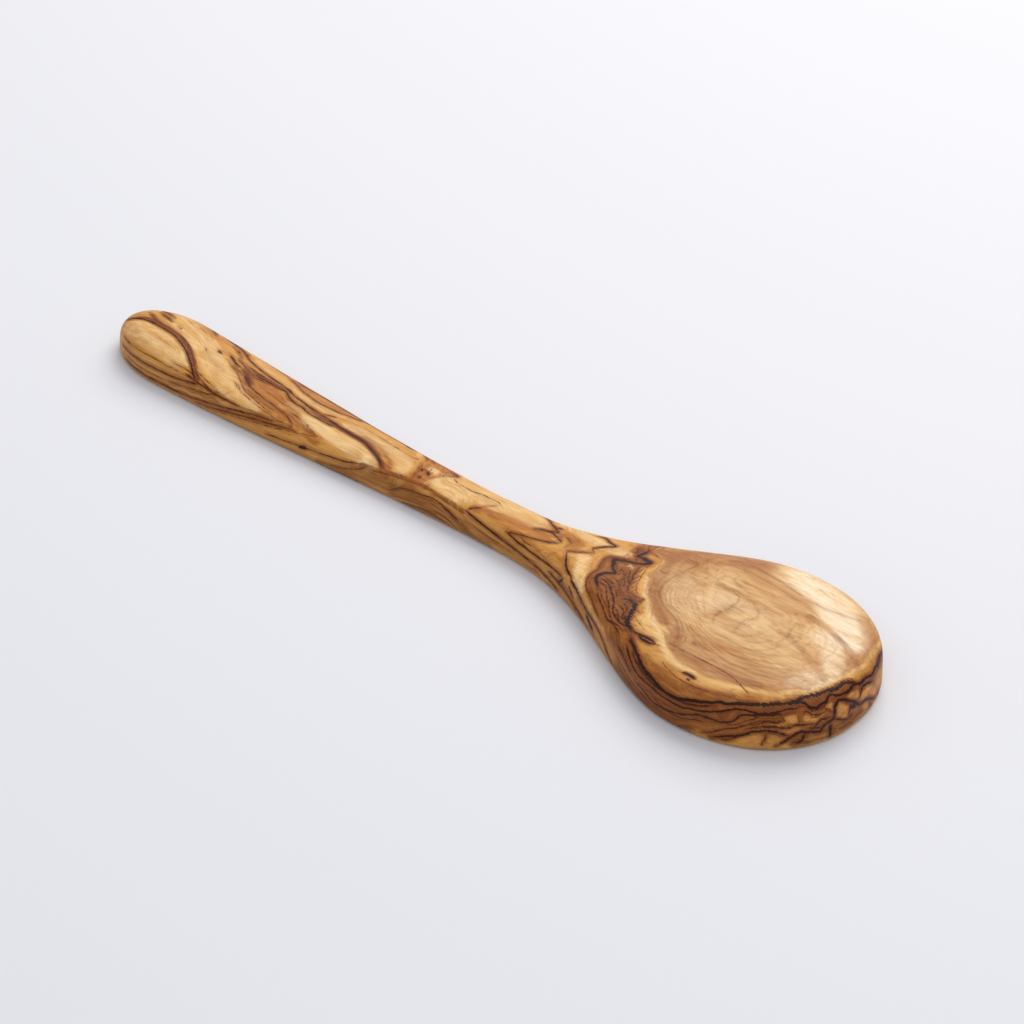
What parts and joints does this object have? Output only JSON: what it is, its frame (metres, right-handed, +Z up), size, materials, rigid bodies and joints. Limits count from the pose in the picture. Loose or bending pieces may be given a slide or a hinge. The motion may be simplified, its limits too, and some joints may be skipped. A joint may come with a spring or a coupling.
{
  "type": "wooden ladle",
  "caption": "Wooden ladle carved whole from olive wood: a flat-faced tapered handle, a slim neck and a shallow egg-shaped bowl with a steep wall.",
  "frame": {"origin": "on the plane it lies on, under the middle of the ladle's length and width", "axes": "+X along the ladle from the butt of the handle to the tip of the bowl, +Y across it, +Z up out of the back of the bowl; the ladle lies face down"},
  "size_m": [0.3, 0.0724, 0.0164],
  "materials": {
    "olive_wood": "oiled olive wood, satin"
  },
  "bodies": {
    "root": {"ladle": "olive_wood"}
  },
  "joints": []
}
